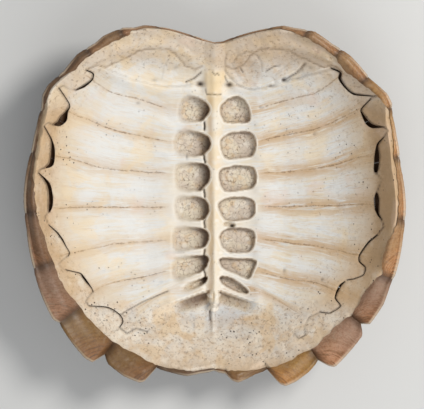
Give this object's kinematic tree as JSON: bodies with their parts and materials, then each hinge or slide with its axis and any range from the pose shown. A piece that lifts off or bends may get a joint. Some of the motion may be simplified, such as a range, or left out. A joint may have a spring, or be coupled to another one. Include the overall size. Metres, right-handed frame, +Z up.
{
  "type": "turtle carapace",
  "caption": "Upper shell of a large turtle lying on its back: a shallow bony bowl with ribs and backbone inside, horn plates outside and a notched rear rim.",
  "frame": {"origin": "middle of the shell's plan at the level it rests on, under the worn keel", "axes": "+Z up out of the open bowl, +Y towards the head end, +X towards the right of the bowl as seen from above with the head end at the top"},
  "size_m": [0.3636, 0.3488, 0.1059],
  "materials": {
    "bone": "matte",
    "rim_horn": "satin",
    "dome_horn": "satin"
  },
  "bodies": {
    "root": {"bone_carapace": "bone", "scute_nuchal": "rim_horn", "scute_vertebral_1": "dome_horn", "scute_vertebral_2": "dome_horn", "scute_vertebral_3": "dome_horn", "scute_vertebral_4": "dome_horn", "scute_vertebral_5": "dome_horn", "scute_pleural_left_1": "dome_horn", "scute_pleural_left_2": "dome_horn", "scute_pleural_left_3": "dome_horn", "scute_pleural_left_4": "dome_horn", "scute_pleural_right_1": "dome_horn", "scute_pleural_right_2": "dome_horn", "scute_pleural_right_3": "dome_horn", "scute_pleural_right_4": "dome_horn", "scute_marginal_left_1": "rim_horn", "scute_marginal_left_2": "rim_horn", "scute_marginal_left_3": "rim_horn", "scute_marginal_left_4": "rim_horn", "scute_marginal_left_5": "rim_horn", "scute_marginal_left_6": "rim_horn", "scute_marginal_left_7": "rim_horn", "scute_marginal_left_8": "rim_horn", "scute_marginal_left_9": "rim_horn", "scute_marginal_left_10": "rim_horn", "scute_marginal_left_11": "rim_horn", "scute_marginal_left_12": "rim_horn", "scute_marginal_right_1": "rim_horn", "scute_marginal_right_2": "rim_horn", "scute_marginal_right_3": "rim_horn", "scute_marginal_right_4": "rim_horn", "scute_marginal_right_5": "rim_horn", "scute_marginal_right_6": "rim_horn", "scute_marginal_right_7": "rim_horn", "scute_marginal_right_8": "rim_horn", "scute_marginal_right_9": "rim_horn", "scute_marginal_right_10": "rim_horn", "scute_marginal_right_11": "rim_horn", "scute_marginal_right_12": "rim_horn"}
  },
  "joints": []
}
